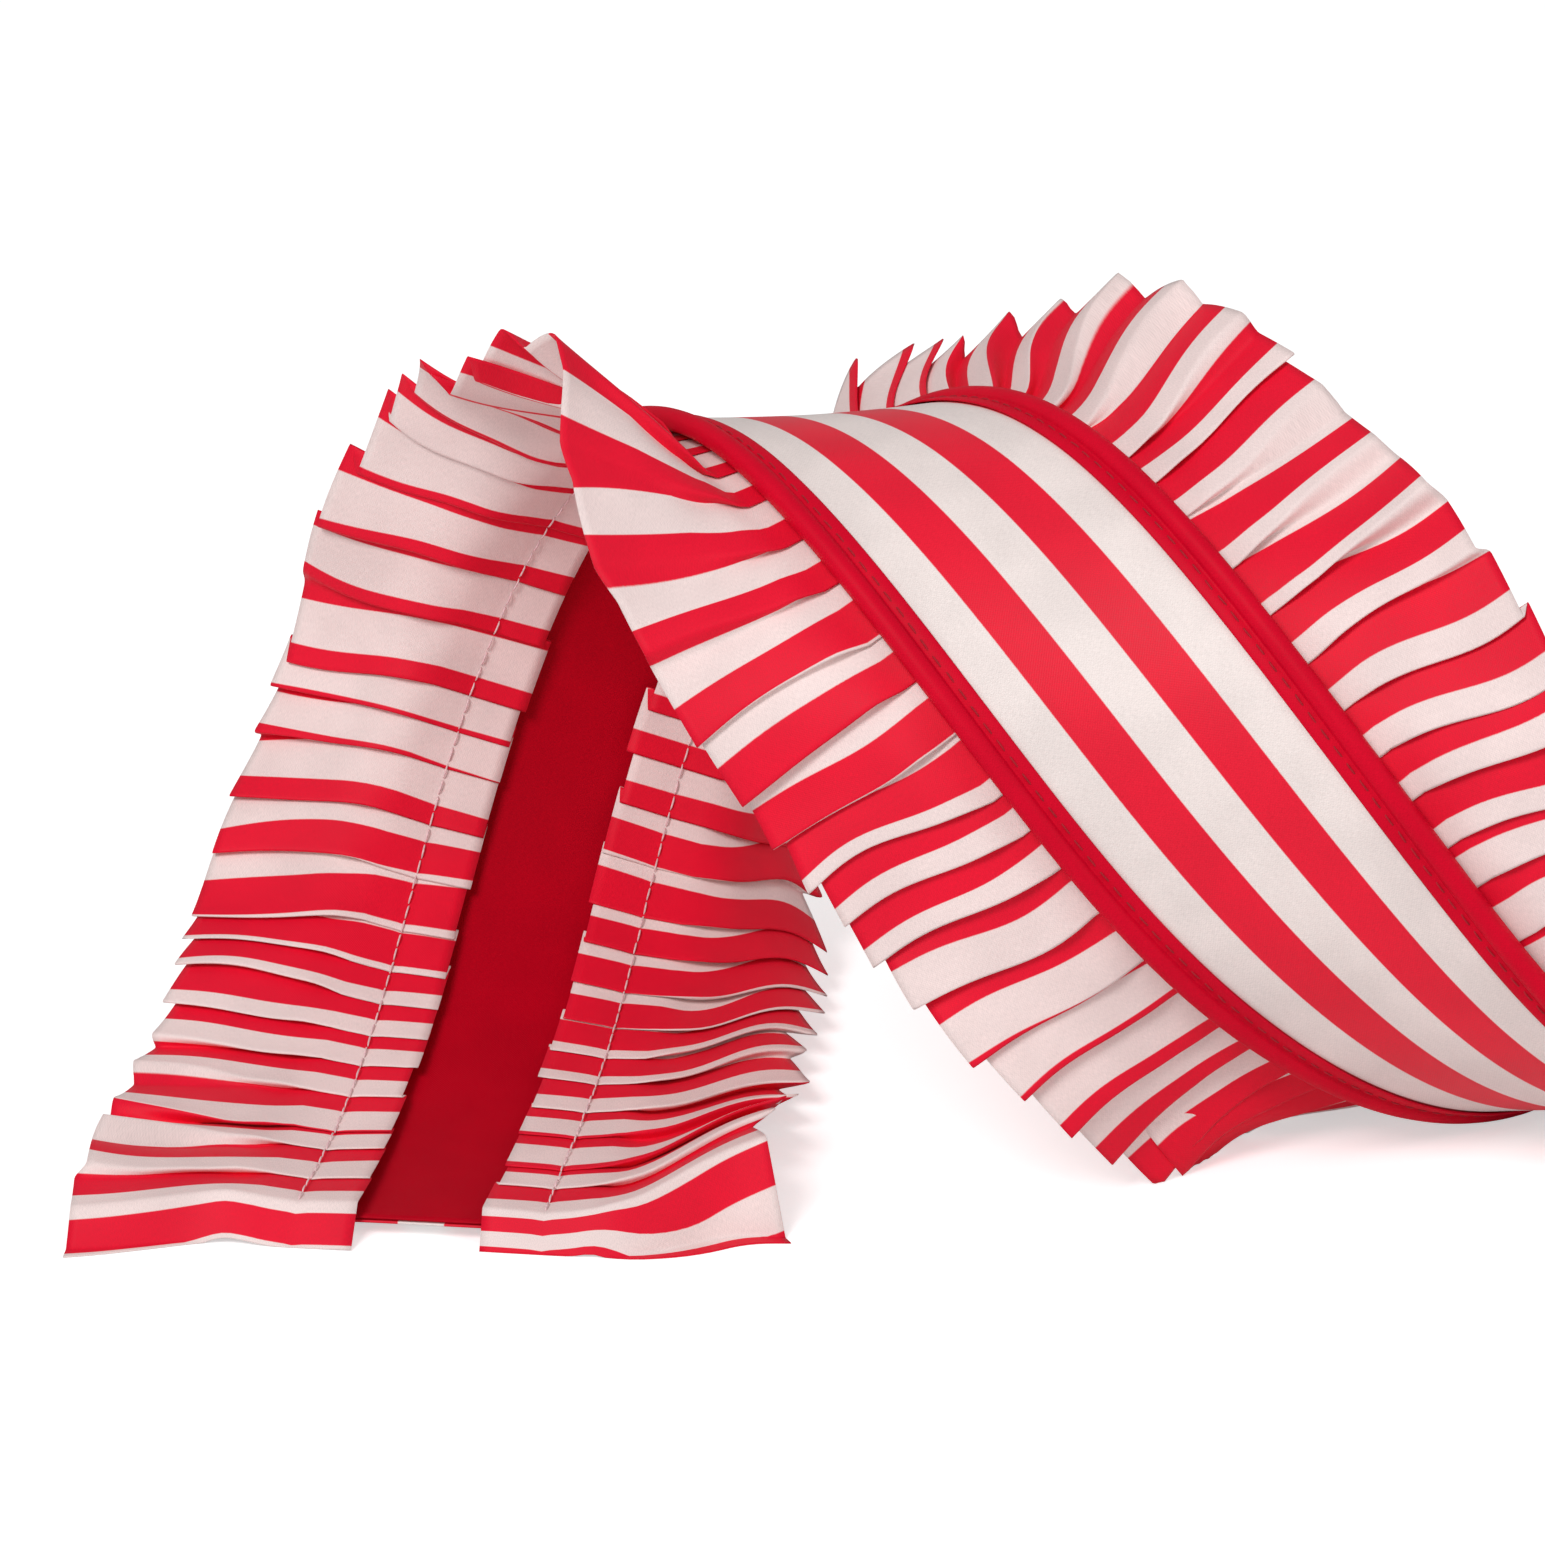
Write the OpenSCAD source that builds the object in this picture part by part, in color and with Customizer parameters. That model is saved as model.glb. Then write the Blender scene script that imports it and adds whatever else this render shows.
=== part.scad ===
// Ruffle-edged striped ribbon trim: one cut length, standing on the floor as a loose coil.
// Millimetres, +Z up. The origin is on the floor, under the middle of the coil.
// Along the ribbon is u, across it is v, and n points from its striped face to its red back.

/* [Ribbon] */
// length of the ribbon along its middle
ribbon_length = 500; // [470:5:540]
// width of the band, over its two bound edges
band_width = 40; // [37:1:44]
// width of the binding on the face
binding_face = 5; // [4.4:0.2:6]
// width of the binding on the back
binding_back = 3.2; // [2.8:0.1:3.6]
// thickness of one layer of cloth
cloth = 0.35; // [0.3:0.05:0.4]
// clearance between two layers
layer_gap = 0.2; // [0.2:0.05:0.3]
// diameter of the wire inside each lip
wire_d = 0.6; // [0.4:0.1:0.7]
// diameter of the sewing thread
thread_d = 0.25; // [0.2:0.05:0.3]

/* [Ruffles] */
// how far a ruffle reaches past the edge of the band
ruffle_reach = 26; // [22:1:29]
// width of the header, from the stitch line to the inner raw edge
header_width = 7.5; // [5:0.5:9]
// distance of the stitch line from the edge of the band
stitch_inset = 4; // [3.8:0.1:5]
// distance from one pleat to the next
pleat_pitch = 7.8; // [7.4:0.1:9]
// depth of a pleat at the outer edge, fold to fold
pleat_depth = 6; // [4:0.5:7]
// share of a pleat that its long slope takes
pleat_slope = 0.65; // [0.5:0.05:0.75]

/* [Lay] */
// heading of the cut end that lies on the floor, in degrees
end_yaw = -7.4; // [-12:0.2:-3]
// slope of that end along the ribbon, in degrees
end_slope = -2.2; // [-2.4:0.1:-2]
// slope of that end across the ribbon, in degrees
end_roll = -0.4; // [-0.5:0.1:-0.3]
// depth of cloth pressed flat where the coil stands
floor_press = 0.5; // [0.4:0.1:0.6]

/* [Hidden] */
// Bend and twist of the ribbon, in degrees per tenth of its length: flat on the floor, up the back
// leg, over the crest, down the front leg, through the valley and up the last leg.
bend_lay = [
    [0, 0], [0.1, 30], [0.2, 68], [0.3, 54], [0.4, 46], [0.5, 42],
    [0.6, 26], [0.7, 54], [0.8, 56], [0.9, 48], [1, 54]
];
twist_lay = [
    [0, -6], [0.1, 16], [0.2, 22], [0.3, 16], [0.4, 36], [0.5, 28],
    [0.6, 38], [0.7, 20], [0.8, 10], [0.9, 12], [1, 18]
];
// How far each ruffle flares out of the plane of the band towards its back, in degrees.
flare_left = [
    [0, -5], [0.04, 10], [0.08, -2], [0.12, -15], [0.16, -25], [0.2, -40], [0.24, -37],
    [0.28, -40], [0.31, -40], [0.34, -22], [0.36, -25], [0.38, -50], [0.4, -30], [0.42, -3],
    [0.44, 13], [0.48, 14], [0.52, 7], [0.56, -24], [0.6, -42], [0.64, -52], [0.68, -11],
    [0.7, -2], [0.72, 4.5], [0.76, 13], [0.8, 14], [0.9, 5], [1, 0]
];
flare_right = [
    [0, 6], [0.04, 8], [0.08, -6], [0.12, -15], [0.16, -32], [0.2, -48], [0.24, -52],
    [0.28, -52], [0.3, -72], [0.32, -60], [0.34, -44], [0.36, -31], [0.4, -27], [0.44, -18],
    [0.48, 8], [0.52, -4], [0.56, 0], [0.6, 8], [0.7, 14], [0.8, 11], [1, 0]
];
// How far the pleats lean along the ribbon, in degrees.
lean_left = [
    [0, -16], [0.04, -2], [0.08, 11], [0.12, 10], [0.16, 1], [0.2, -6], [0.24, -14],
    [0.28, -21], [0.32, -27], [0.36, -25], [0.4, -16], [0.44, -12], [0.48, -17], [0.52, -10],
    [0.56, -11], [0.6, -8], [0.64, -48], [0.68, -50], [0.72, -45], [0.76, -25], [0.8, -8],
    [0.9, 5], [1, 0]
];
lean_right = [
    [0, 7], [0.04, 23], [0.08, 30], [0.12, 35], [0.16, 24], [0.2, 11], [0.24, -8],
    [0.28, -30], [0.32, -50], [0.36, -50], [0.4, -29], [0.44, -7], [0.48, -2], [0.52, 15],
    [0.56, 12], [0.6, 10], [0.8, 9], [1, 0]
];

// Places across the ribbon.
half_width = band_width / 2;
// Raw edges of the two bands, inside the bindings.
core_inset = 2.4;
core_half = half_width - core_inset;
wire_inset = 1.5;
wire_v = half_width - wire_inset;
// The groove beside the rolled lip, with the stitches next to it.
groove_inset = 3;
groove_v = half_width - groove_inset;
groove_to_thread = 0.6;
face_thread_v = groove_v - groove_to_thread;
// The rolled lip: where its inner side and its crown start, outside and inside the roll.
roll_inset = 2.2;
roll_inset_in = 2.1;
crown_inset = 0.7;
crown_inset_in = 1.1;
edge_inset_in = 0.6;
edge_out = 0.2;
edge_in = 0.1;
stitch_v = half_width - stitch_inset;
header_v = stitch_v - header_width;
// A ruffle leaves the plane of the band just past its edge.
lip_past = 1.5;
lip_v = half_width + lip_past;

// Levels through the ribbon, from its middle.
core_in = layer_gap / 2;
core_out = core_in + cloth;
flap_in = core_out + layer_gap;
flap_out = flap_in + cloth;
// The rolled lip stands above the stitches beside it, even where the floor presses it.
lip_rise = 0.1;
lip_out = flap_out + layer_gap + thread_d + floor_press + lip_rise;
// Room between a ruffle and the longer chords of the band beneath it.
chord_room = 0.6;
header_fold = 0.4;
seam_fold = 0.2;
lip_fold = 0.6;
layer_room = layer_gap + chord_room + cloth / 2;
header_n = core_out + layer_room + header_fold;
stitch_n = flap_out + layer_room + seam_fold;
lip_n = flap_out + layer_room + lip_fold;
thread_n = stitch_n + seam_fold + cloth / 2 + layer_gap;

// The lay: the middle line walked in short steps, as [point, [across, along, through]].
walk_steps = 200;
walk_step = ribbon_length / walk_steps;

function turned(v, axis, angle) =
    v * cos(angle) + cross(axis, v) * sin(angle) + axis * (axis * v) * (1 - cos(angle));

function turned_frame(f, turn) =
    let (angle = norm(turn), axis = turn / angle)
    [for (v = f) turned(v, axis, angle)];

// Turn over one step, as a vector along its axis.
function step_turn(f, i) =
    let (s = (i + 0.5) / walk_steps)
    (f[0] * lookup(s, bend_lay) + f[1] * lookup(s, twist_lay)) * 10 / walk_steps;

function end_frame() =
    let (
        rolled = [for (v = [[1, 0, 0], [0, 1, 0], [0, 0, 1]]) turned(v, [0, 1, 0], end_roll)],
        pitched = [for (v = rolled) turned(v, [1, 0, 0], end_slope)]
    )
    [for (v = pitched) turned(v, [0, 0, 1], end_yaw)];

walk = [
    for (
        i = 0, p = [0, 0, 0], f = end_frame();
        i <= walk_steps;
        p = p + turned_frame(f, step_turn(f, i) / 2)[1] * walk_step,
        f = turned_frame(f, step_turn(f, i)),
        i = i + 1
    ) [p, f]
];

function lay_at(u) =
    let (
        x = min(max(u / walk_step, 0), walk_steps - 0.001),
        i = floor(x),
        r = x - i
    )
    [
        walk[i][0] * (1 - r) + walk[i + 1][0] * r,
        walk[i][1] * (1 - r) + walk[i + 1][1] * r
    ];

function flipped(list) = [for (i = [len(list) - 1 : -1 : 0]) list[i]];

// A closed ring of points from the two faces of a sheet, turning the same way on both sides.
function ring(front, back, side) =
    side > 0 ? concat(front, flipped(back)) : concat(back, flipped(front));

// Rings of a strip that keeps one section, given as its front and its back face in [v, n].
lay_stations = 44;

function strip_rings(front, back, side) = [
    for (i = [0 : lay_stations])
    let (
        lay = lay_at(ribbon_length * i / lay_stations),
        f = lay[1],
        a = [for (q = front) lay[0] + f[0] * q[0] * side + f[2] * q[1]],
        b = [for (q = back) lay[0] + f[0] * q[0] * side + f[2] * q[1]]
    )
    ring(a, b, side)
];

// Rings of a thread or wire, square in section.
function thread_rings(v, n, d, side) =
    strip_rings(
        [[v - d / 2, n - d / 2], [v + d / 2, n - d / 2]],
        [[v - d / 2, n + d / 2], [v + d / 2, n + d / 2]],
        side
    );

// Rings of a band between two levels.
function band_rings(low, high) =
    let (
        flap = half_width - binding_face,
        across = [-core_half, -flap, -flap / 2, flap / 2, flap, core_half]
    )
    strip_rings([for (v = across) [v, low]], [for (v = across) [v, high]], 1);

// Rings of a binding, folded round the edge of the band, with a rolled lip beyond its groove.
function binding_rings(side) =
    strip_rings(
        [
            [half_width - binding_face, -flap_out],
            [groove_v, -flap_out],
            [half_width - roll_inset, -lip_out],
            [half_width - crown_inset, -lip_out],
            [half_width, -edge_out],
            [half_width - crown_inset, flap_out],
            [half_width - binding_back, flap_out]
        ],
        [
            [half_width - binding_face, -flap_in],
            [groove_v, -flap_in],
            [half_width - roll_inset_in, -flap_in],
            [half_width - crown_inset_in, -flap_in],
            [half_width - edge_inset_in, -edge_in],
            [half_width - crown_inset_in, flap_in],
            [half_width - binding_back, flap_in]
        ],
        side
    );

// Rings of a ruffle: two stations a pleat, from the raw edge of the header to the outer edge.
pleats = round(ribbon_length / pleat_pitch);
pleat = ribbon_length / pleats;

function ruffle_rings(side, flare, lean) = [
    for (i = [0 : 2 * pleats])
    let (
        fold = i % 2 == 0 ? -1 : 1,
        u = pleat * (floor(i / 2) + (i % 2) * pleat_slope),
        lay = lay_at(u),
        across = lay[1][0] * side,
        along = lay[1][1],
        through = lay[1][2],
        up = lookup(u / ribbon_length, flare),
        over = lookup(u / ribbon_length, lean),
        out = (across * cos(over) + along * sin(over)) * cos(up) + through * sin(up),
        face = through * cos(up) - across * sin(up),
        header = lay[0] + across * header_v + through * (header_n + fold * header_fold),
        stitch = lay[0] + across * stitch_v + through * (stitch_n + fold * seam_fold),
        lip = lay[0] + across * lip_v + through * (lip_n + fold * lip_fold),
        root = lay[0] + across * lip_v + through * lip_n,
        hem = root + out * (ruffle_reach - lip_past) + face * (fold * pleat_depth / 2),
        t = cloth / 2
    )
    ring(
        [header - through * t, stitch - through * t, lip - through * t, hem - face * t],
        [header + through * t, stitch + through * t, lip + through * t, hem + face * t],
        side
    )
];

// The whole lay is moved so that its lowest cloth is pressed into the floor.
ruffle_left_rings = ruffle_rings(-1, flare_left, lean_left);
ruffle_right_rings = ruffle_rings(1, flare_right, lean_right);
binding_left_rings = binding_rings(-1);
binding_right_rings = binding_rings(1);
outline = [
    for (rings = [ruffle_left_rings, ruffle_right_rings, binding_left_rings, binding_right_rings])
    for (points = rings)
    each points
];
low = [for (k = [0 : 2]) min([for (q = outline) q[k]])];
high = [for (k = [0 : 2]) max([for (q = outline) q[k]])];
to_floor = [-(low[0] + high[0]) / 2, -(low[1] + high[1]) / 2, -low[2] - floor_press];

// Colours of the cloth, thread and wire.
stripe_red = [0.87, 0.05, 0.19];
deep_red = [0.6, 0.01, 0.08];
chalk_white = [0.93, 0.9, 0.88];
pale_pink = [0.93, 0.72, 0.74];
steel_grey = [0.6, 0.6, 0.62];

// A closed skin of triangles over rings of points, each ring holding two faces of a sheet.
module skin(rings, side = 1) {
    r = len(rings[0]);
    last = (len(rings) - 1) * r;
    points = [for (ring_points = rings) each ring_points];
    // All faces are split along the same diagonals, so neighbouring sheets stay evenly apart.
    sides = [
        for (i = [0 : len(rings) - 2], k = [0 : r - 1])
        let (a = i * r + k, b = i * r + (k + 1) % r, rising = (k < r / 2) == (side > 0))
        each rising ? [[a, b, b + r], [a, b + r, a + r]] : [[a, b, a + r], [b, b + r, a + r]]
    ];
    first_end = [
        for (j = [0 : r / 2 - 2])
        each [[j, r - 1 - j, r - 2 - j], [j, r - 2 - j, j + 1]]
    ];
    last_end = [for (t = first_end) [last + t[0], last + t[2], last + t[1]]];
    polyhedron(points = points, faces = concat(first_end, sides, last_end), convexity = 10);
}

// Everything is placed on the floor, and what reaches below it is pressed flat.
module placed() {
    translate(to_floor) {
        children();
    }
}

module pressed() {
    difference() {
        placed() {
            children();
        }
        translate([-ribbon_length, -ribbon_length, -2 * ribbon_length]) {
            cube(2 * ribbon_length);
        }
    }
}

// Striped ribbon on the outside of the coil.
module face_band() {
    color(chalk_white) placed() skin(band_rings(-core_out, -core_in));
}

// Plain red ribbon behind it, on the inside of the coil.
module back_band() {
    color(deep_red) placed() skin(band_rings(core_in, core_out));
}

// Red bindings folded round both edges, each with a rolled lip.
module binding_left() {
    color(stripe_red) pressed() skin(binding_left_rings, -1);
}

module binding_right() {
    color(stripe_red) pressed() skin(binding_right_rings);
}

// Wires inside the lips, which hold the coil in shape.
module wire_left() {
    color(steel_grey) placed() skin(thread_rings(wire_v, 0, wire_d, -1), -1);
}

module wire_right() {
    color(steel_grey) placed() skin(thread_rings(wire_v, 0, wire_d, 1));
}

// Pleated ruffles, sewn on behind the band.
module ruffle_left() {
    color(stripe_red) pressed() skin(ruffle_left_rings, -1);
}

module ruffle_right() {
    color(stripe_red) pressed() skin(ruffle_right_rings);
}

// Lines of stitches in the grooves of the bindings.
module face_stitch_left() {
    n = -flap_out - layer_gap - thread_d / 2;
    color(deep_red) placed() skin(thread_rings(face_thread_v, n, thread_d, -1), -1);
}

module face_stitch_right() {
    n = -flap_out - layer_gap - thread_d / 2;
    color(deep_red) placed() skin(thread_rings(face_thread_v, n, thread_d, 1));
}

// Lines of stitches that hold the ruffles.
module ruffle_stitch_left() {
    n = thread_n + thread_d / 2;
    color(pale_pink) placed() skin(thread_rings(stitch_v, n, thread_d, -1), -1);
}

module ruffle_stitch_right() {
    n = thread_n + thread_d / 2;
    color(pale_pink) placed() skin(thread_rings(stitch_v, n, thread_d, 1));
}

face_band();
back_band();
binding_left();
binding_right();
wire_left();
wire_right();
ruffle_left();
ruffle_right();
face_stitch_left();
face_stitch_right();
ruffle_stitch_left();
ruffle_stitch_right();
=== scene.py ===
"""Looks of a ruffle-edged striped ribbon trim that stands as a loose coil.

The trim's lengths are in millimetres until a mesh is made. The camera, lamps and floor are in metres.
"""

import math

import bpy
import numpy as np
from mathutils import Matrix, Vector


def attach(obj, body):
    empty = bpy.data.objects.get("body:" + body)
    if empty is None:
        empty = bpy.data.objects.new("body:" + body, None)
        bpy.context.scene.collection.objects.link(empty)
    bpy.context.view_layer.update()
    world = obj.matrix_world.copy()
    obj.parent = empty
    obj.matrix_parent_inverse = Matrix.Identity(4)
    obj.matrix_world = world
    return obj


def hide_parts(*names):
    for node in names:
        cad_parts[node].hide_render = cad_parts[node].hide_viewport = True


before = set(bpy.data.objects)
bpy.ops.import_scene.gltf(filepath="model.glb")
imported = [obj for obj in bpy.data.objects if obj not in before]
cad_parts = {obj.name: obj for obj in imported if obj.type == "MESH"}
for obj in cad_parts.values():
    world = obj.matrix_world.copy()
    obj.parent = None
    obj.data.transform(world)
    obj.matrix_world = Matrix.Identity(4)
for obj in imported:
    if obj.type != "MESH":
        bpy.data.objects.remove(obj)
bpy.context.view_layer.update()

MM = 0.001
FULL_TURN = 2 * math.pi
# Keeps a divisor away from nought.
TINY = 1e-3
# A cloth's own coordinates are millimetres over this.
CLOTH_SCALE = 100.0

# The two edges of the ribbon, as signs of the distance across it.
LEFT, RIGHT = -1, 1
WORD = {LEFT: "left", RIGHT: "right"}

# The lay of the ribbon, as in the part's source: bend and twist in degrees per tenth of its length.
LENGTH = 500.0
START = np.array([-97.33, -55.49, 2.33])
END_YAW, END_SLOPE, END_ROLL = -7.4, -2.2, -0.4
BEND = [0, 30, 68, 54, 46, 42, 26, 54, 56, 48, 54]
TWIST = [-6, 16, 22, 16, 36, 28, 38, 20, 10, 12, 18]

# Distances across the ribbon, from its middle line.
BAND_EDGE = 17.6
WIRE_V = 18.5
GROOVE_V = 16.9
FACE_STITCH_V = 16.5
HEADER_V, STITCH_V, LIP_V = 8.5, 16.0, 21.5

# Sizes of the cloth. A ruffle's strip is measured from its header's raw edge.
STRIPE = 6.0
PLEATS = 64
REACH = 24.5
STITCH_Y = STITCH_V - HEADER_V
LIP_Y = LIP_V - HEADER_V
STRIP = LIP_Y + REACH
BAND_THICKNESS, BINDING_THICKNESS, RUFFLE_THICKNESS = 0.25, 0.28, 0.16
# How far the middle of each band's cloth lies from the middle line, through the ribbon.
BAND_LEVEL = 0.275
# The lowest that the middle of the cloth may lie above the floor.
BINDING_FLOOR, RUFFLE_FLOOR = 0.16, 0.12

# Middle and size of a rolled lip, across and through the ribbon.
LIP_MIDDLE, LIP_SIZE = (18.65, -0.62), (1.3, 1.18)
# How far the stitches pull their groove in and out, and how far to each side of it.
GROOVE_PULL, GROOVE_WIDTH = 0.05, 0.35

# Sizes of the wire and the thread, and the share of its width that a stitch keeps at its ends.
WIRE_RADIUS = 0.3
THREAD, THIN_END = 0.26, 0.55
# The step, length and level of each kind of stitch, and how far its ends dip into the cloth.
FACE_STITCH_STEP, FACE_STITCH, FACE_STITCH_LEVEL = 2.6, 2.1, -0.99
RUFFLE_STITCH_STEP, RUFFLE_STITCH, RUFFLE_STITCH_LEVEL = 2.5, 2.2, 2.32
STITCH_DIP = 0.3
# How far stitches stray from their line, and how far they slant.
STRAY_SPREAD, SLANT_SPREAD = 0.04, 0.05

# Flare of each ruffle towards the back, in degrees, at shares of the ribbon's length.
FLARE = {
    LEFT: [
        (0, -5), (0.04, 10), (0.08, -2), (0.12, -15), (0.16, -25), (0.2, -40), (0.24, -37), (0.28, -40),
        (0.31, -42), (0.34, -12), (0.36, -12), (0.38, -66), (0.4, -24), (0.42, 0), (0.44, 13), (0.48, 14),
        (0.52, 7), (0.56, -24), (0.6, -42), (0.64, -52), (0.68, -11), (0.7, -2), (0.72, 4.5), (0.76, 13),
        (0.8, 14), (0.9, 5), (1, 0),
    ],
    RIGHT: [
        (0, 17), (0.03, 12), (0.08, -6), (0.12, -15), (0.16, -32), (0.2, -48), (0.24, -52), (0.28, -56),
        (0.3, -78), (0.31, -74), (0.32, -60), (0.34, -42), (0.36, -31), (0.4, -27), (0.44, -18), (0.48, 8),
        (0.52, -4), (0.56, 0), (0.6, 8), (0.7, 14), (0.8, 11), (1, 0),
    ],
}
# Lean of its pleats along the ribbon, likewise.
LEAN = {
    LEFT: [
        (0, -16), (0.04, -2), (0.08, 11), (0.12, 10), (0.16, 2), (0.2, -1), (0.24, -6), (0.28, -14),
        (0.32, -22), (0.36, -24), (0.39, -18), (0.41, -4), (0.43, 0), (0.45, -5), (0.48, -12), (0.52, -10),
        (0.56, -11), (0.6, -8), (0.64, -43), (0.68, -40), (0.72, -35), (0.76, -22), (0.8, -8), (0.9, 5),
        (1, 0),
    ],
    RIGHT: [
        (0, 26), (0.04, 31), (0.08, 33), (0.12, 35), (0.16, 24), (0.2, 11), (0.24, -8), (0.28, -30),
        (0.32, -50), (0.36, -50), (0.4, -29), (0.44, -7), (0.48, -2), (0.52, 15), (0.56, 12), (0.6, 10),
        (0.8, 9), (1, 0),
    ],
}
# How far both lists are smoothed along the ribbon.
FLARE_BLUR, LEAN_BLUR = 5, 6

# Where the middle of a pleat's visible cloth falls in the stripes, from a white stripe's middle, at
# distances along the ribbon.
PHASE = {
    LEFT: [
        (0, 3), (12, 2.5), (20, 1.5), (45, 2), (55, 4), (70, 6), (80, 8), (95, 10), (110, 11), (130, 12),
        (165, 13), (200, 15), (208, 16.3), (230, 17), (247, 18), (254, 21), (260, 21.5), (268, 22.7),
        (276, 23.1), (284, 24), (293, 26), (302, 27), (312, 27.5), (322, 30), (340, 33), (400, 40),
        (500, 50),
    ],
    RIGHT: [
        (0, 3.5), (12, 2), (26, 0), (50, 5), (60, 6), (80, 7), (105, 9), (125, 10), (160, 12), (190, 12),
        (204, 11), (212, 9.5), (221, 9.5), (229, 10.5), (238, 8.5), (248, 7.5), (260, 9), (271, 9.5),
        (290, 9), (340, 12), (400, 19), (500, 30),
    ],
}
# Past the crest the pleats are seen from the face, which shows the cloth of each this much further on.
FACE_FROM, FACE_OVER, FACE_SHIFT = 150, 30, 2.4

# The loose flap of cloth before the first pleat at the cut end, the share of it that its sewn side shows,
# and how far it turns out of the ruffle, in degrees.
FLAP = {LEFT: 9.0, RIGHT: 17.5}
FLAP_AT_SEAM = {LEFT: 0.75, RIGHT: 0.32}
FLAP_TURN = {LEFT: 45, RIGHT: 60}

# A ruffle turns into its flare over a soft bend past the lip. Where it rounds the crest, at these distances
# along the ribbon, it bends sharply and springs up at once, close to the lip.
SOFT_BEND, SHARP_BEND = 9.0, 3.0
CREST = {LEFT: 182.0, RIGHT: 153.0}
CREST_SPAN = 20
CREST_SPRING, SPRING_RUN = 2.5, 4
# How far a pleat swings over on its way out, as a share of its lean.
SWING = 0.12

# The least room of a pleat, the most as a share of its cloth, and the share of its spare cloth on top.
LEAST_ROOM, MOST_ROOM, TOP_SHARE = 2.0, 0.97, 0.5
# How deep a pleat is pressed at the header and from the stitches on, and the deepest that it stands.
HEADER_DEPTH, STITCH_DEPTH, MOST_DEPTH = 0.46, 0.4, 2.6
# How far past the stitches it starts to open, and over what distance.
OPENS_AFTER, OPENS_OVER = 2.5, 8
# How far it puffs up at least, how much more at the hem, and how much more where it springs off the lip.
PUFF, HEM_PUFF, LIP_PUFF = 1.15, 0.35, 0.6
LIP_PUFF_AT, LIP_PUFF_SPAN = 3.5, 3.2
SOFTEST, CRISPEST = 0.75, 1.2
# The furthest that a pleat laps over the next, as a share of its pitch, and that its hem is stepped.
MOST_LAP, MOST_SKEW = 1.7, 2.6
# How round the creases are, how much rounder at the hem, and how round its steps are in steps of the mesh.
CREASE_ROUND, HEM_ROUND, STEP_ROUND = 0.35, 0.2, 0.8
# How soon past the lip the flap is spread, the hem is stepped and the creases are lifted, where 1 is slowest.
FLAP_RATE, SKEW_RATE, LIFT_RATE = 1.7, 1.6, 2
# How far from the header's raw edge the cloth is ragged.
RAGGED_RUN = 4

# How uneven the pleats are: the spread and limits of their pitch as shares of its mean, and other spreads.
PITCH_SPREAD, NARROWEST, WIDEST = 0.17, 0.68, 1.38
PHASE_SPREAD, TILT_SPREAD, SHIFT_SPREAD, BOW_SPREAD, RAGGED_SPREAD = 0.4, 2.2, 0.5, 0.7, 0.35
LIFT_SPREAD, MOST_LIFT = 0.12, 0.2
GRAIN_SPREAD = 0.045
# The least cloth in a pleat, and the cloth in the last one, as shares of its pitch.
LEAST_CLOTH, LAST_CLOTH = 1.18, 1.5
# Wavelengths and sizes of the waves in a hem, and of the ripples in a band.
HEM_WAVES = ((64, 0.9), (37, 0.7), (23, 0.3))
BAND_RIPPLES = ((70, 0.03), (31, 0.018), (17, 0.009))
# A ripple's wavelength across the band, as a share of that along it.
RIPPLE_ACROSS = 0.8
# Seeds of the random draws.
BAND_SEED = 3
STITCH_SEED = {LEFT: 11, RIGHT: 12}
RUFFLE_SEED = {LEFT: 21, RIGHT: 34}
# Steps of the mesh along a ruffle's cloth.
CLOTH_STEP = 0.45


def turned(vectors, axis, angle):
    """Rows of vectors turned about an axis by the right-hand rule."""
    axis = np.asarray(axis, float)
    c, s = math.cos(angle), math.sin(angle)
    return vectors * c + np.cross(axis, vectors) * s + np.outer(vectors @ axis, axis) * (1 - c)


def walk(steps=1000):
    """Points of the middle line and their frames, whose rows are across, along and through the ribbon."""
    f = np.eye(3)
    for axis, angle in (((0, 1, 0), END_ROLL), ((1, 0, 0), END_SLOPE), ((0, 0, 1), END_YAW)):
        f = turned(f, axis, math.radians(angle))
    p = START.copy()
    tenths = np.linspace(0, 1, 11)
    points, frames = [], []
    for i in range(steps + 1):
        points.append(p)
        frames.append(f)
        s = (i + 0.5) / steps
        turn = np.radians(f[0] * np.interp(s, tenths, BEND) + f[1] * np.interp(s, tenths, TWIST)) * 10 / steps
        angle = np.linalg.norm(turn)
        p = p + turned(f, turn / angle, angle / 2)[1] * LENGTH / steps
        f = turned(f, turn / angle, angle)
    return np.array(points), np.array(frames)


WALK_POINTS, WALK_FRAMES = walk()


def lay(u):
    """Point, across, along and through at distances u, which may run a little past the ends."""
    x = np.asarray(u, float) / LENGTH * (len(WALK_POINTS) - 1)
    i = np.clip(np.floor(x).astype(int), 0, len(WALK_POINTS) - 2)
    r = (x - i)[..., None]
    p = WALK_POINTS[i] * (1 - r) + WALK_POINTS[i + 1] * r
    f = WALK_FRAMES[i] * (1 - r[..., None]) + WALK_FRAMES[i + 1] * r[..., None]
    return p, f[..., 0, :], f[..., 1, :], f[..., 2, :]


def place(u, v, n):
    """Points at u along, v across and n through the ribbon."""
    p, across, _, through = lay(u)
    return p + across * np.asarray(v, float)[..., None] + through * np.asarray(n, float)[..., None]


def eased(x):
    """A smooth step from 0 to 1."""
    x = np.clip(x, 0, 1)
    return x * x * (3 - 2 * x)


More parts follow.
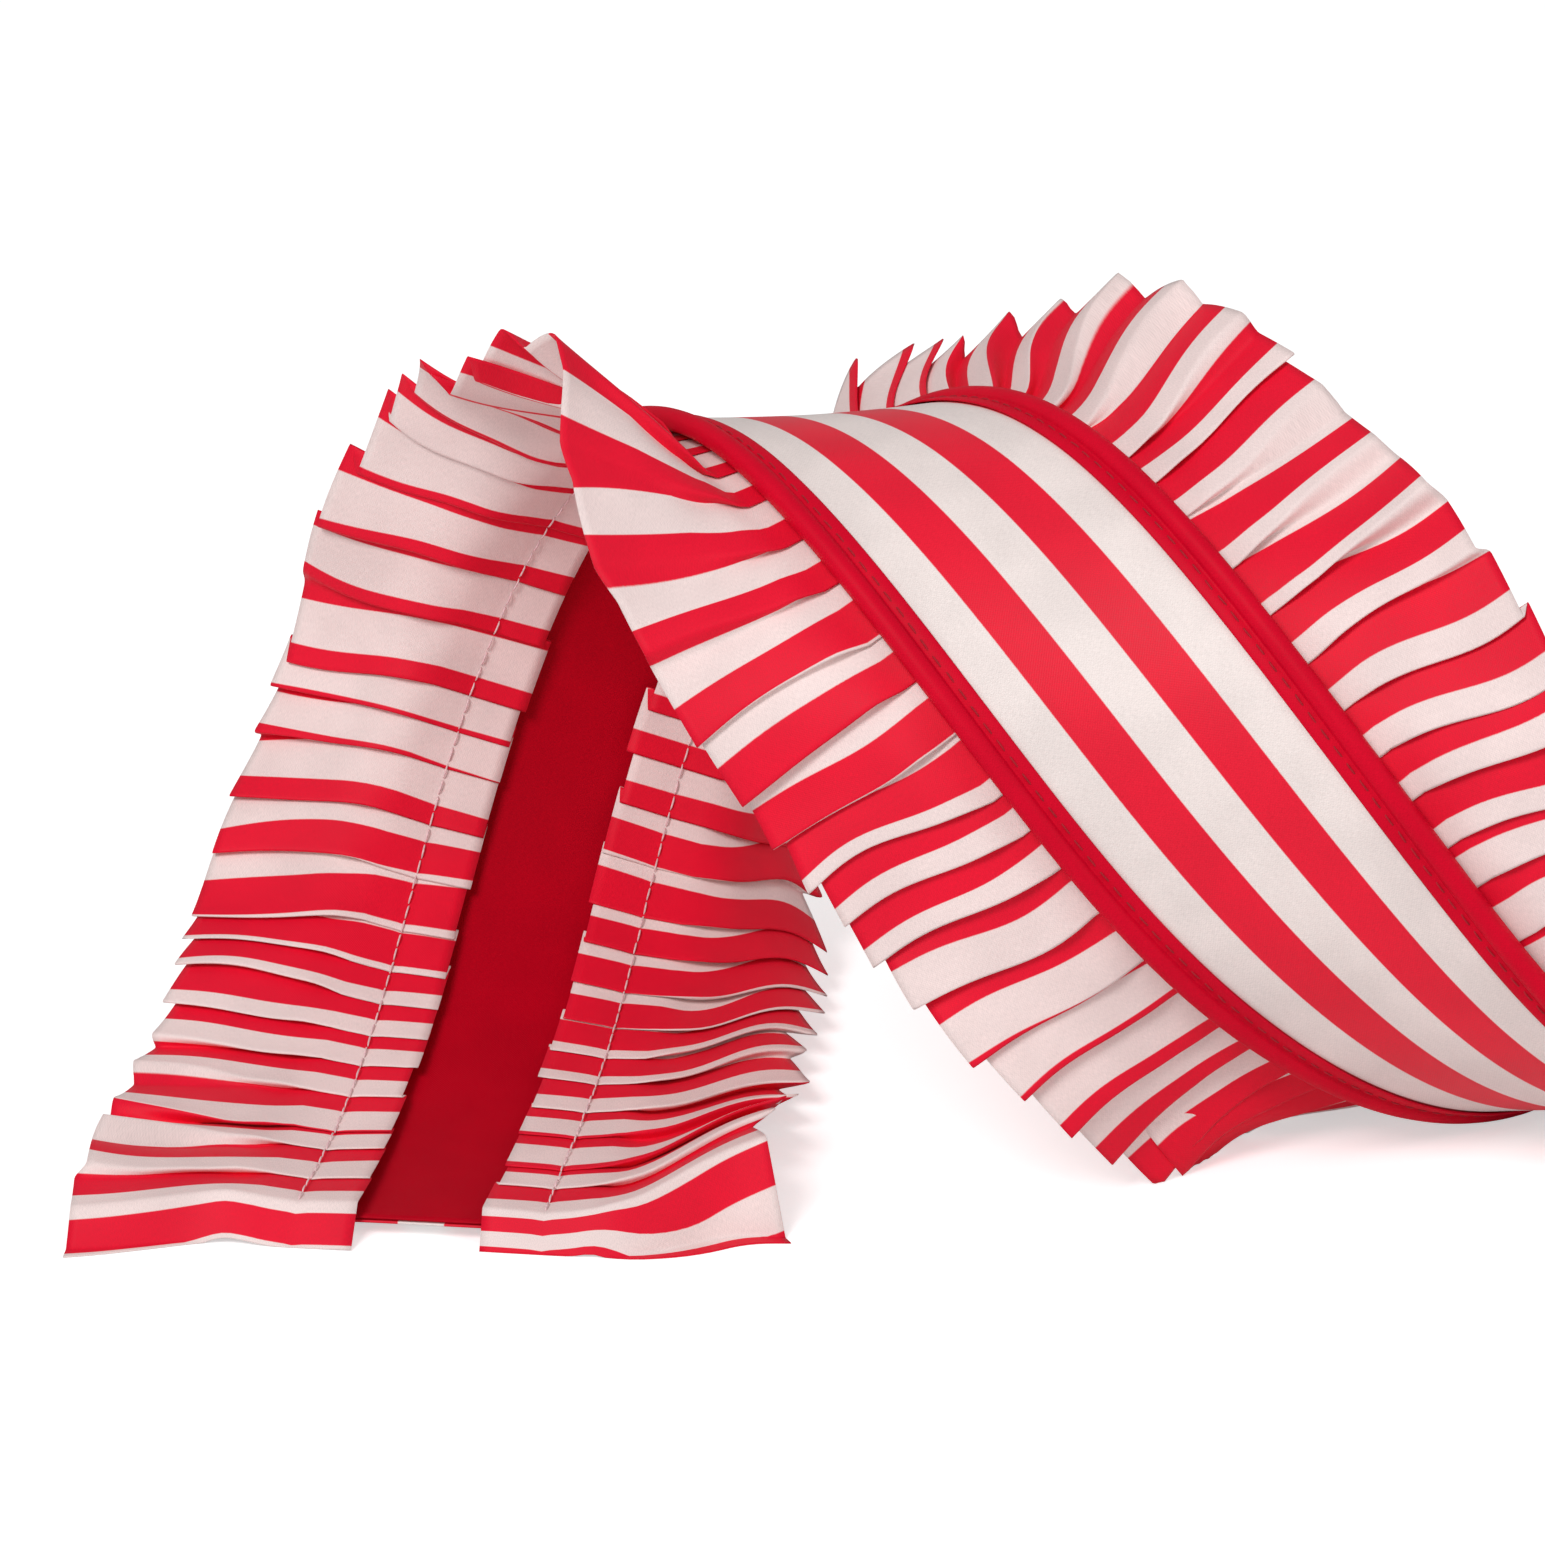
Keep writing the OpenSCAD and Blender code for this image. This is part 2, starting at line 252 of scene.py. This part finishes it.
def blurred(values, sigma):
    """A row smoothed along its length, with ends that keep their slope."""
    half = int(3 * sigma) + 1
    kernel = np.exp(-0.5 * (np.arange(-half, half + 1) / sigma) ** 2)
    kernel /= kernel.sum()
    left = 2 * values[0] - values[half:0:-1]
    right = 2 * values[-1] - values[-2 : -half - 2 : -1]
    return np.convolve(np.concatenate([left, values, right]), kernel, "valid")


def table_along(knots, sigma):
    """A smooth function of the distance along the ribbon, from knots at shares of its length."""
    u = np.arange(-20, LENGTH + 21, 1.0)
    k = np.array(knots, float)
    values = blurred(np.interp(u, k[:, 0] * LENGTH, k[:, 1]), sigma)
    return lambda x: np.interp(x, u, values)


def sheet_object(name, points, uvs, material, thickness):
    """A sheet of cloth from a grid of points, with its own coordinates in millimetres."""
    rows, cols = points.shape[:2]
    index = np.arange(rows * cols).reshape(rows, cols)
    quads = np.stack([index[:-1, :-1], index[1:, :-1], index[1:, 1:], index[:-1, 1:]], -1).reshape(-1, 4)
    mesh = bpy.data.meshes.new(name)
    mesh.from_pydata((points.reshape(-1, 3) * MM).tolist(), [], quads.tolist())
    mesh.shade_smooth()
    layer = mesh.uv_layers.new(name="Cloth")
    corners = (uvs / CLOTH_SCALE).reshape(-1, 2)[quads.ravel()]
    layer.data.foreach_set("uv", corners.astype(np.float32).ravel())
    obj = bpy.data.objects.new(name, mesh)
    bpy.context.scene.collection.objects.link(obj)
    mesh.materials.append(material)
    solid = obj.modifiers.new("cloth", "SOLIDIFY")
    solid.thickness = thickness * MM
    solid.offset = 0
    return obj


def tube_rings(path, side_a, side_b, radii, ring):
    """Rings of points round each point of a path."""
    a = np.linspace(0, FULL_TURN, ring, endpoint=False)
    return path[..., None, :] + radii[..., None, None] * (
        side_a[..., None, :] * np.cos(a)[:, None] + side_b[..., None, :] * np.sin(a)[:, None]
    )


def tubes_object(name, rings, material):
    """One mesh of closed tubes from rings shaped (tubes, rings, points, 3)."""
    tubes, count, ring = rings.shape[:3]
    index = np.arange(tubes * count * ring).reshape(tubes, count, ring)
    nxt = np.roll(index, -1, axis=2)
    quads = np.stack([index[:, :-1], nxt[:, :-1], nxt[:, 1:], index[:, 1:]], -1).reshape(-1, 4)
    caps = index[:, 0, ::-1].tolist() + index[:, -1].tolist()
    mesh = bpy.data.meshes.new(name)
    mesh.from_pydata((rings.reshape(-1, 3) * MM).tolist(), [], quads.tolist() + caps)
    mesh.shade_smooth()
    obj = bpy.data.objects.new(name, mesh)
    bpy.context.scene.collection.objects.link(obj)
    mesh.materials.append(material)
    return obj


# Materials


def linear(r, g, b):
    """A colour written as 0 to 255, as a shader takes it."""
    shares = [c / 255 for c in (r, g, b)]
    levels = [s / 12.92 if s <= 0.04045 else ((s + 0.055) / 1.055) ** 2.4 for s in shares]
    return (*levels, 1.0)


RED = linear(238, 9, 48)
BINDING_RED = linear(217, 3, 41)
# The back band's darker red is painted shade, standing in for the shade that falls inside the coil.
SHADED_BACK_RED = linear(188, 2, 29)
WHITE = linear(244, 231, 227)
# The ruffle's white is pinker than the band's: painted red bounce light and painted light shining through the
# thin cloth.
WHITE_WITH_PAINTED_BOUNCE = linear(247, 226, 223)


class Nodes:
    """A short way to write a material's nodes."""

    def __init__(self, name):
        self.material = bpy.data.materials.new(name)
        self.material.use_nodes = True
        self.tree = self.material.node_tree
        self.shader = self.tree.nodes["Principled BSDF"]

    def set(self, socket, value):
        if isinstance(value, bpy.types.NodeSocket):
            self.tree.links.new(value, socket)
        elif value is not None:
            socket.default_value = value

    def new(self, kind, inputs=None, **facts):
        node = self.tree.nodes.new(kind)
        for k, v in facts.items():
            setattr(node, k, v)
        for k, v in (inputs or {}).items():
            self.set(node.inputs[k], v)
        return node

    def math(self, operation, a, b=None):
        return self.new("ShaderNodeMath", {0: a, 1: b}, operation=operation).outputs[0]

    def mix(self, factor, a, b, blend="MIX"):
        node = self.new("ShaderNodeMix", data_type="RGBA", blend_type=blend)
        for socket, value in ((node.inputs[0], factor), (node.inputs[6], a), (node.inputs[7], b)):
            self.set(socket, value)
        return node.outputs[2]

    def toned(self, colour, tone):
        """A colour made lighter or darker by a tone."""
        shade = self.new("ShaderNodeCombineColor", {0: tone, 1: tone, 2: tone}).outputs[0]
        return self.mix(1.0, colour, shade, "MULTIPLY")

    def noise(self, vector, scale, detail=2.0):
        return self.new("ShaderNodeTexNoise", {"Vector": vector, "Scale": scale, "Detail": detail}).outputs[0]

    def ramp(self, value, low, high, to_low=0.0, to_high=1.0):
        return self.new(
            "ShaderNodeMapRange",
            {0: value, 1: low, 2: high, 3: to_low, 4: to_high},
            interpolation_type="SMOOTHSTEP",
        ).outputs[0]


def cloth(name, red, white=None, sheen=0.1, gloss=0.3, roughness=0.5, rib=0.42):
    """Fine ribbon cloth, striped along its first coordinate where a white is given."""
    m = Nodes(name)
    coordinates = m.new("ShaderNodeUVMap", uv_map="Cloth").outputs[0]
    parts = m.new("ShaderNodeSeparateXYZ", {0: coordinates})
    x = m.math("MULTIPLY", parts.outputs[0], CLOTH_SCALE)
    y = m.math("MULTIPLY", parts.outputs[1], CLOTH_SCALE)
    solid = m.new("ShaderNodeTexCoord").outputs["Object"]
    thread_x = m.math("SINE", m.math("MULTIPLY", x, FULL_TURN / rib))
    thread_y = m.math("SINE", m.math("MULTIPLY", y, FULL_TURN / rib))
    weave = m.math("MULTIPLY", thread_x, thread_y)
    drawn_out = m.new("ShaderNodeMapping", {"Vector": coordinates, "Scale": (40.0, 260.0, 1.0)}).outputs[0]
    slub = m.noise(drawn_out, 4.0, 3.0)
    cloudy = m.noise(solid, 90.0, 2.0)
    tone = m.math("ADD", m.ramp(slub, 0.3, 0.7, 0.9, 1.04), m.math("MULTIPLY", weave, 0.035))
    tone = m.math("MULTIPLY", tone, m.ramp(cloudy, 0.3, 0.7, 0.95, 1.04))
    colour = red
    if white:
        # The distance from the middle of the nearest white stripe, made a little uneven by the yarn.
        saw = m.math("FRACT", m.math("ADD", m.math("DIVIDE", x, 2 * STRIPE), 0.5))
        off = m.math("MULTIPLY", m.math("ABSOLUTE", m.math("SUBTRACT", saw, 0.5)), 2 * STRIPE)
        off = m.math("ADD", off, m.math("MULTIPLY", m.math("SUBTRACT", slub, 0.5), 0.16))
        mask = m.ramp(off, STRIPE / 2 - 0.1, STRIPE / 2 + 0.1)
        colour = m.mix(mask, white, red)
    m.set(m.shader.inputs["Base Color"], m.toned(colour, tone))
    m.set(m.shader.inputs["Roughness"], m.ramp(slub, 0.2, 0.8, roughness - 0.06, roughness + 0.1))
    m.shader.inputs["Specular IOR Level"].default_value = gloss
    m.shader.inputs["Sheen Weight"].default_value = sheen
    m.shader.inputs["Sheen Roughness"].default_value = 0.4
    height = m.math("ADD", m.math("MULTIPLY", weave, 0.5), m.math("MULTIPLY", slub, 0.7))
    bump = m.new("ShaderNodeBump", {"Strength": 0.25, "Distance": 0.00006, "Height": height})
    m.set(m.shader.inputs["Normal"], bump.outputs[0])
    return m.material


def thread(name, colour):
    """Matt sewing thread with a little fluff."""
    m = Nodes(name)
    solid = m.new("ShaderNodeTexCoord").outputs["Object"]
    fluff = m.noise(solid, 2500.0, 3.0)
    m.set(m.shader.inputs["Base Color"], m.toned(colour, m.ramp(fluff, 0.25, 0.75, 0.8, 1.1)))
    m.shader.inputs["Roughness"].default_value = 0.75
    bump = m.new("ShaderNodeBump", {"Strength": 0.4, "Distance": 0.00004, "Height": fluff})
    m.set(m.shader.inputs["Normal"], bump.outputs[0])
    return m.material


def wire_metal(name):
    """Soft drawn wire."""
    m = Nodes(name)
    solid = m.new("ShaderNodeTexCoord").outputs["Object"]
    drawn = m.noise(solid, 1800.0, 2.0)
    m.set(m.shader.inputs["Base Color"], m.mix(drawn, linear(168, 168, 172), linear(198, 198, 200)))
    m.set(m.shader.inputs["Roughness"], m.ramp(drawn, 0.3, 0.7, 0.25, 0.45))
    m.shader.inputs["Metallic"].default_value = 1.0
    return m.material


FACE_CLOTH = cloth("striped_satin", RED, WHITE)
# The ruffle's whites carry a painted pink cast of bounced and transmitted red light.
RUFFLE_CLOTH = cloth("striped_taffeta", RED, WHITE_WITH_PAINTED_BOUNCE, sheen=0.05, gloss=0.2, roughness=0.55, rib=0.36)
# The back band's cloth takes the darker red of painted shade.
BACK_CLOTH = cloth("red_satin_back_painted_shade", SHADED_BACK_RED, sheen=0.0, gloss=0.05)
BINDING_CLOTH = cloth("red_satin_binding", BINDING_RED, sheen=0.0, gloss=0.08)
RED_THREAD = thread("red_thread", linear(176, 5, 32))
PALE_THREAD = thread("pale_thread", linear(240, 205, 208))
WIRE = wire_metal("soft_wire")


def finished(obj, node):
    """A piece that stands for a CAD node, hides that node and rides on the root."""
    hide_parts(node)
    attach(obj, "root")
    return obj


# Bands


def band(name, level, material):
    """One of the two flat ribbons. Both ripple alike, so they stay evenly apart."""
    u = np.linspace(0, LENGTH, 401)
    v = np.linspace(-BAND_EDGE, BAND_EDGE, 37)
    uu, vv = np.meshgrid(u, v, indexing="ij")
    rng = np.random.default_rng(BAND_SEED)
    ripple = np.zeros_like(uu)
    for wavelength, size in BAND_RIPPLES:
        a, b = rng.uniform(0, FULL_TURN, 2)
        along = np.sin(FULL_TURN * uu / wavelength + a)
        across = np.cos(FULL_TURN * vv / (wavelength * RIPPLE_ACROSS) + b)
        ripple += size * along * across
    points = place(uu, vv, level + ripple)
    obj = sheet_object(name + "_cloth", points, np.stack([vv, uu], -1), material, BAND_THICKNESS)
    return finished(obj, name)


# Bindings


def binding(side):
    """A strip folded round the edge of the band, with a stitched groove and a rolled lip."""
    name = f"binding_{WORD[side]}"
    # Its section across and through the ribbon: the flap on the face, the lip and the part on the back.
    flap = [(15.0, -0.72), (15.15, -0.8), (15.5, -0.84), (16.0, -0.85)]
    groove = [(16.4, -0.8), (16.8, -0.66), (17.05, -0.6)]
    turns = np.radians(np.linspace(176, -8, 13))
    roll_v = LIP_MIDDLE[0] + LIP_SIZE[0] * np.cos(turns)
    roll_n = LIP_MIDDLE[1] - LIP_SIZE[1] * np.sin(turns)
    roll = list(zip(roll_v, roll_n))
    back = [(19.93, 0.1), (19.75, 0.5), (19.35, 0.76), (18.8, 0.82), (18.0, 0.83), (17.3, 0.83), (16.8, 0.83)]
    section = np.array(flap + groove + roll + back)
    cut = np.concatenate([[0], np.cumsum(np.linalg.norm(np.diff(section, axis=0), axis=1))])
    u = np.linspace(0, LENGTH, 501)
    uu, vv = np.meshgrid(u, section[:, 0], indexing="ij")
    _, nn = np.meshgrid(u, section[:, 1], indexing="ij")
    _, cc = np.meshgrid(u, cut, indexing="ij")
    # The stitches pull the groove down a little at each hole.
    in_groove = np.exp(-(((vv - GROOVE_V) / GROOVE_WIDTH) ** 2)) * (nn < 0)
    pull = GROOVE_PULL * np.cos(FULL_TURN * uu / FACE_STITCH_STEP) * in_groove
    points = place(uu, vv * side, nn + pull)
    points[..., 2] = np.maximum(points[..., 2], BINDING_FLOOR)
    uvs = np.stack([cc, uu], -1)
    obj = sheet_object(name + "_cloth", points, uvs, BINDING_CLOTH, BINDING_THICKNESS)
    finished(obj, name)


def edge_wire(side):
    """The wire inside a lip."""
    name = f"wire_{WORD[side]}"
    u = np.linspace(0, LENGTH, 401)
    _, across, _, through = lay(u)
    path = place(u, np.full_like(u, WIRE_V * side), np.zeros_like(u))
    rings = tube_rings(path, across, through, np.full_like(u, WIRE_RADIUS), 8)
    finished(tubes_object(name + "_drawn", rings[None], WIRE), name)


# Stitches


def stitches(name, side, v, level, step, length, material):
    """A row of short stitches whose ends dip into the cloth."""
    rng = np.random.default_rng(STITCH_SEED[side])
    starts = np.arange(1.0, LENGTH - length - 0.5, step)
    t = np.linspace(0, 1, 7)
    u = starts[:, None] + length * t
    stray = rng.normal(0, STRAY_SPREAD, (len(starts), 1))
    slant = rng.normal(0, SLANT_SPREAD, (len(starts), 1))
    wobble = stray + slant * (t - 0.5)
    arch = 1 - (2 * t - 1) ** 4
    n = level - np.sign(level) * STITCH_DIP * (1 - arch)
    path = place(u, (v + wobble) * side, n + np.zeros_like(u))
    _, across, _, through = lay(u)
    radii = THREAD / 2 * (THIN_END + (1 - THIN_END) * arch) * np.ones_like(u)
    rings = tube_rings(path, across, through, radii, 6)
    finished(tubes_object(name + "_sewn", rings, material), name)


# Ruffles


def ruffle_base(side, u, y, flare, lean):
    """Points of a ruffle with its pleats ironed out, and the way through it, y from its header's raw edge."""
    p, across, along, through = lay(u)
    f = np.radians(flare(u))[..., None]
    f = np.where(np.abs(f) < TINY, TINY, f)
    t = np.radians(lean)[..., None]
    y = np.asarray(y, float)[..., None]
    inner = np.minimum(y, LIP_Y)
    # The header lies behind the band and dips at its stitches.
    header = [0, 4, STITCH_Y - 1, STITCH_Y, STITCH_Y + 1, LIP_Y]
    level = np.interp(inner, header, [2.2, 2.05, 1.9, 1.75, 1.95, 2.45])
    d = np.maximum(y - LIP_Y, 0)
    crest = np.exp(-(((u - CREST[side]) / CREST_SPAN) ** 2))[..., None]
    bend = SOFT_BEND - (SOFT_BEND - SHARP_BEND) * crest
    a = f * np.minimum(d / bend, 1)
    straight = np.maximum(d - bend, 0)
    run = bend / f * np.sin(a) + np.cos(f) * straight
    rise = bend / f * (1 - np.cos(a)) + np.sin(f) * straight - CREST_SPRING * crest * eased(d / SPRING_RUN)
    # A pleat leaves the seam square to it, swings over and straightens again: a flat S.
    swing = 1 - SWING * np.sin(FULL_TURN * d / REACH) / np.maximum(d / REACH, TINY)
    sideways = across * side * (HEADER_V + inner + run * np.cos(t))
    points = p + sideways + along * run * np.sin(t) * swing + through * (level + rise)
    out = across * side * np.cos(t) + along * np.sin(t)
    return points, through * np.cos(a) - out * np.sin(a)


def pleat_plan(side, rng):
    """The pitch of each pleat, the edges and middles of the pleats, and the cloth that each starts with."""
    pitch = np.clip(1 + PITCH_SPREAD * rng.standard_normal(PLEATS), NARROWEST, WIDEST)
    pitch *= LENGTH / pitch.sum()
    edges = np.concatenate([[0], np.cumsum(pitch)])
    middle = (edges[:-1] + edges[1:]) / 2
    phase = np.interp(middle, *np.array(PHASE[side], float).T) + rng.normal(0, PHASE_SPREAD, PLEATS)
    on_face = eased((middle - FACE_FROM) / FACE_OVER)
    wanted = phase - pitch / 2 - FACE_SHIFT * on_face + 2 * STRIPE * np.arange(PLEATS)
    start = [wanted[0]]
    for i in range(1, PLEATS):
        start.append(max(wanted[i], start[-1] + LEAST_CLOTH * pitch[i - 1]))
    start.append(start[-1] + LAST_CLOTH * pitch[-1])
    return pitch, edges, middle, np.array(start)


def per_line(values):
    """A value for each line of a ruffle, from one for each pleat."""
    return np.concatenate([values[:1], np.repeat(values, 2), values[-1:]])


def ruffle(side):
    """A strip laid in knife pleats of uneven width, sewn flat at its header and opening towards its hem."""
    name = f"ruffle_{WORD[side]}"
    rng = np.random.default_rng(RUFFLE_SEED[side])
    flare = table_along(FLARE[side], FLARE_BLUR)
    lean = table_along(LEAN[side], LEAN_BLUR)
    pitch, edges, middle, start = pleat_plan(side, rng)
    folded = np.diff(start)

    # Rows of the mesh: the header up to its stitches, on to the lip, and past it to the hem.
    header = [np.linspace(0, STITCH_Y, 6), np.linspace(STITCH_Y, LIP_Y, 6)]
    y = np.unique(np.concatenate(header + [np.linspace(LIP_Y, STRIP, 20)]))
    past = np.clip((y - LIP_Y) / REACH, 0, 1)

    # The room that each pleat has in each row.
    edge_u, edge_y = np.meshgrid(edges, y)
    ironed, _ = ruffle_base(side, edge_u, edge_y, flare, lean(edge_u))
    room = np.linalg.norm(np.diff(ironed, axis=1), axis=2)
    room = np.clip(room, LEAST_ROOM, MOST_ROOM * folded)

    # Creases stay where they were pressed, so a pleat stands up where its hem spreads.
    first = pitch + TOP_SHARE * (folded - pitch)
    second = folded - first
    crisp = rng.uniform(SOFTEST, CRISPEST, PLEATS)
    foot = (first**2 - second**2 + room**2) / (2 * room)
    standing = np.sqrt(np.maximum(first**2 - foot**2, 0))
    by_the_lip = np.exp(-(((y - LIP_Y - LIP_PUFF_AT) / LIP_PUFF_SPAN) ** 2))[:, None]
    puff = PUFF + HEM_PUFF * past[:, None] + LIP_PUFF * crisp * by_the_lip
    pressed = np.where(y < STITCH_Y - 1, HEADER_DEPTH, STITCH_DEPTH)[:, None]
    opened = eased((y - STITCH_Y - OPENS_AFTER) / OPENS_OVER)[:, None]
    depth = pressed + (np.clip(standing, puff, MOST_DEPTH) - pressed) * opened
    lapped = np.minimum(np.sqrt(first**2 - depth**2) * pitch / room, MOST_LAP * pitch)

    # Lines along the pleats: the flap's cut edge, a start and a far crease for each pleat, the last edge.
    lines = 2 * PLEATS + 2
    tilt = lean(middle) + rng.normal(0, TILT_SPREAD, PLEATS)
    shift = rng.normal(0, SHIFT_SPREAD, lines)
    lift = np.clip(rng.normal(0, LIFT_SPREAD, lines), -MOST_LIFT, MOST_LIFT)
    bow = rng.normal(0, BOW_SPREAD, lines)
    ragged = per_line(rng.normal(0, RAGGED_SPREAD, PLEATS))
    knots = np.empty(lines)
    knots[0] = start[0] - FLAP[side]
    knots[1::2] = start
    knots[2::2] = start[:-1] + first

    c = np.arange(knots[0], start[-1] + 1e-6, CLOTH_STEP)
    # Cloth is never pleated quite square to its grain.
    off_grain = np.interp(c, start, rng.normal(0, GRAIN_SPREAD, len(start)))
    waves = [(rng.uniform(0, FULL_TURN), wavelength, size) for wavelength, size in HEM_WAVES]
    flap_turn = math.radians(FLAP_TURN[side])
    uu, yy, hh, tt = (np.empty((len(y), len(c))) for _ in range(4))
    for k, t in enumerate(past):
        along, height, skew = (np.empty(lines) for _ in range(3))
        out = FLAP_AT_SEAM[side] + (1 - FLAP_AT_SEAM[side]) * eased(FLAP_RATE * t)
        along[0] = -math.cos(flap_turn) * FLAP[side] * out
        along[1::2] = edges
        along[2::2] = edges[:-1] + lapped[k]
        height[1:-1:2] = -depth[k] / 2
        height[-1] = -depth[k][-1] / 2
        height[2::2] = depth[k] / 2
        height[0] = height[1] + math.sin(flap_turn) * FLAP[side] * out
        # A pleat that leans keeps its hem square to its folds, which steps the edge.
        skew[1:-1:2] = pitch / 2 * np.sin(np.radians(tilt))
        skew[2::2] = -(along[2::2] - middle) * np.sin(np.radians(tilt))
        skew[0] = skew[1]
        skew[-1] = -skew[-2]
        along = along + shift * t + bow * math.sin(math.pi * t)
        height = height + lift * eased(LIFT_RATE * t)
        roundness = (CREASE_ROUND + HEM_ROUND * t) / CLOTH_STEP
        uu[k] = blurred(np.interp(c, knots, along), roundness)
        hh[k] = blurred(np.interp(c, knots, height), roundness)
        tt[k] = np.interp(c, knots, per_line(tilt))
        step = np.clip(skew, -MOST_SKEW, MOST_SKEW) * eased(SKEW_RATE * t)
        edge = step + ragged * (eased(1 - y[k] / RAGGED_RUN) + t)
        yy[k] = y[k] + blurred(np.interp(c, knots, edge), STEP_ROUND)
        for offset, wavelength, size in waves:
            hh[k] += size * t * np.sin(FULL_TURN * uu[k] / wavelength + offset)

    points, through = ruffle_base(side, uu, yy, flare, tt)
    points = points - through * hh[..., None]
    points[..., 2] = np.maximum(points[..., 2], RUFFLE_FLOOR)
    rows = np.repeat(y[:, None], len(c), 1)
    uvs = np.stack([c + off_grain * (rows - LIP_Y - REACH / 2), rows], -1)
    obj = sheet_object(name + "_cloth", points, uvs, RUFFLE_CLOTH, RUFFLE_THICKNESS)
    finished(obj, name)


# The camera stands where the photograph was taken from.

# The photograph's width and the focal length in pixels, and the sensor's width.
PHOTO_PIXELS, FOCAL_PIXELS = 1545, 5520
SENSOR = 36.0
CAMERA_DISTANCE = 0.7
CAMERA_TILT = math.radians(20)
target = Vector((-0.05246, -0.03971, 0.05766))
camera = bpy.data.objects.new("camera", bpy.data.cameras.new("camera"))
camera.data.sensor_width = SENSOR
camera.data.lens = SENSOR * FOCAL_PIXELS / PHOTO_PIXELS
camera.location = target + CAMERA_DISTANCE * Vector((0, -math.cos(CAMERA_TILT), math.sin(CAMERA_TILT)))
camera.rotation_euler = (math.pi / 2 - CAMERA_TILT, 0, 0)
camera.data.clip_start, camera.data.clip_end = 0.05, 50
bpy.context.scene.collection.objects.link(camera)
bpy.context.scene.camera = camera

# The pieces

face = band("face_band", -BAND_LEVEL, FACE_CLOTH)
back = band("back_band", BAND_LEVEL, BACK_CLOTH)
for side in (LEFT, RIGHT):
    binding(side)
    edge_wire(side)
    ruffle(side)
    stitches(
        f"face_stitch_{WORD[side]}", side, FACE_STITCH_V, FACE_STITCH_LEVEL, FACE_STITCH_STEP, FACE_STITCH,
        RED_THREAD,
    )
    stitches(
        f"ruffle_stitch_{WORD[side]}", side, STITCH_V, RUFFLE_STITCH_LEVEL, RUFFLE_STITCH_STEP, RUFFLE_STITCH,
        PALE_THREAD,
    )

# A plain pale floor and soft light


def floor_material():
    """A pale floor that the camera sees as white, with the object's shadow on it."""
    m = Nodes("pale_floor")
    m.shader.inputs["Base Color"].default_value = (0.9, 0.9, 0.9, 1)
    m.shader.inputs["Roughness"].default_value = 0.6
    m.shader.inputs["Specular IOR Level"].default_value = 0.1
    m.shader.inputs["Emission Color"].default_value = (1, 1, 1, 1)
    seen = m.new("ShaderNodeLightPath").outputs["Is Camera Ray"]
    m.set(m.shader.inputs["Emission Strength"], m.math("MULTIPLY", seen, 0.53))
    return m.material


floor_mesh = bpy.data.meshes.new("floor")
floor_mesh.from_pydata([(-6, -6, 0), (6, -6, 0), (6, 6, 0), (-6, 6, 0)], [], [(0, 1, 2, 3)])
floor = bpy.data.objects.new("floor", floor_mesh)
floor_mesh.materials.append(floor_material())
bpy.context.scene.collection.objects.link(floor)

# The sky looks white to the camera and lights the object less brightly.
world = bpy.data.worlds.new("studio")
world.use_nodes = True
sky = world.node_tree.nodes["Background"]
path = world.node_tree.nodes.new("ShaderNodeLightPath")
strength = world.node_tree.nodes.new("ShaderNodeMapRange")
strength.inputs["To Min"].default_value = 0.33
strength.inputs["To Max"].default_value = 1.0
world.node_tree.links.new(path.outputs["Is Camera Ray"], strength.inputs["Value"])
world.node_tree.links.new(strength.outputs["Result"], sky.inputs["Strength"])
sky.inputs["Color"].default_value = (1, 1, 1, 1)
bpy.context.scene.world = world


def lamp(name, place_at, size, watts):
    """A square lamp that points at the object."""
    data = bpy.data.lights.new(name, "AREA")
    data.size = size
    data.energy = watts
    obj = bpy.data.objects.new(name, data)
    obj.location = place_at
    obj.rotation_euler = (Vector((0, 0, 0.05)) - Vector(place_at)).to_track_quat("-Z", "Y").to_euler()
    bpy.context.scene.collection.objects.link(obj)


lamp("key", (-0.9, -1.3, 1.5), 0.8, 25)
lamp("fill", (1.3, -1.0, 0.9), 1.4, 6)
bpy.context.scene.view_settings.view_transform = "Standard"
